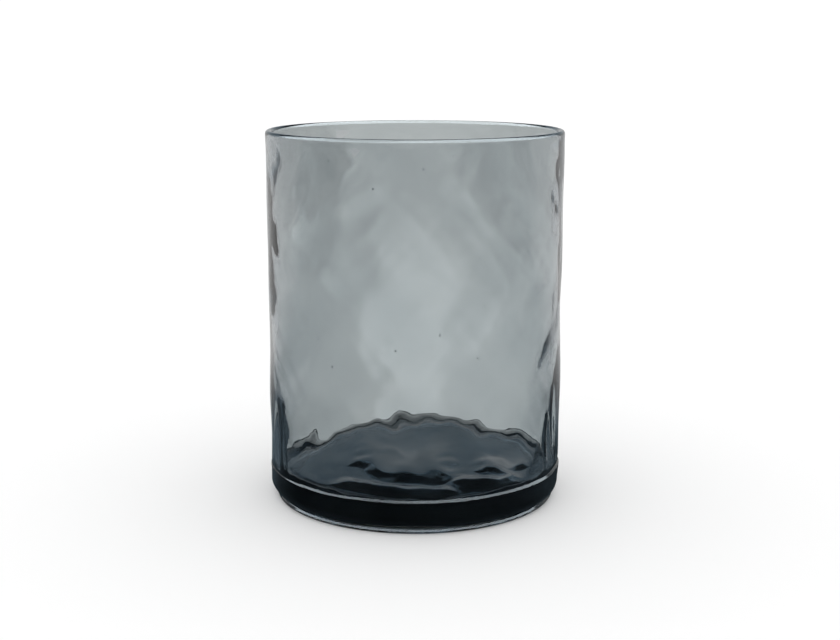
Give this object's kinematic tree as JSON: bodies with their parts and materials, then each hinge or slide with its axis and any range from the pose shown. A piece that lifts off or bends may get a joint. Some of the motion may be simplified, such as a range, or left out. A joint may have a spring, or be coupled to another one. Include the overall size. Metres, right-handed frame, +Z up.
{
  "type": "glass cylinder vase",
  "caption": "Straight, open-topped cylinder vase in smoky grey hammered glass, with a thick heavy base, a low foot ring and a rounded fire-polished rim.",
  "frame": {"origin": "centre of the foot ring's bearing face, on the surface the vase stands on", "axes": "+Z up along the vase's axis, out of the mouth; X and Y are equivalent, because the vase is round"},
  "size_m": [0.12, 0.12, 0.15],
  "materials": {
    "smoked_glass": "clear smoky blue-grey glass, fire-polished, with a lightly hammered surface"
  },
  "bodies": {
    "root": {"foot_ring": "smoked_glass", "base_disc": "smoked_glass", "side_wall": "smoked_glass", "rim_bead": "smoked_glass"}
  },
  "joints": []
}
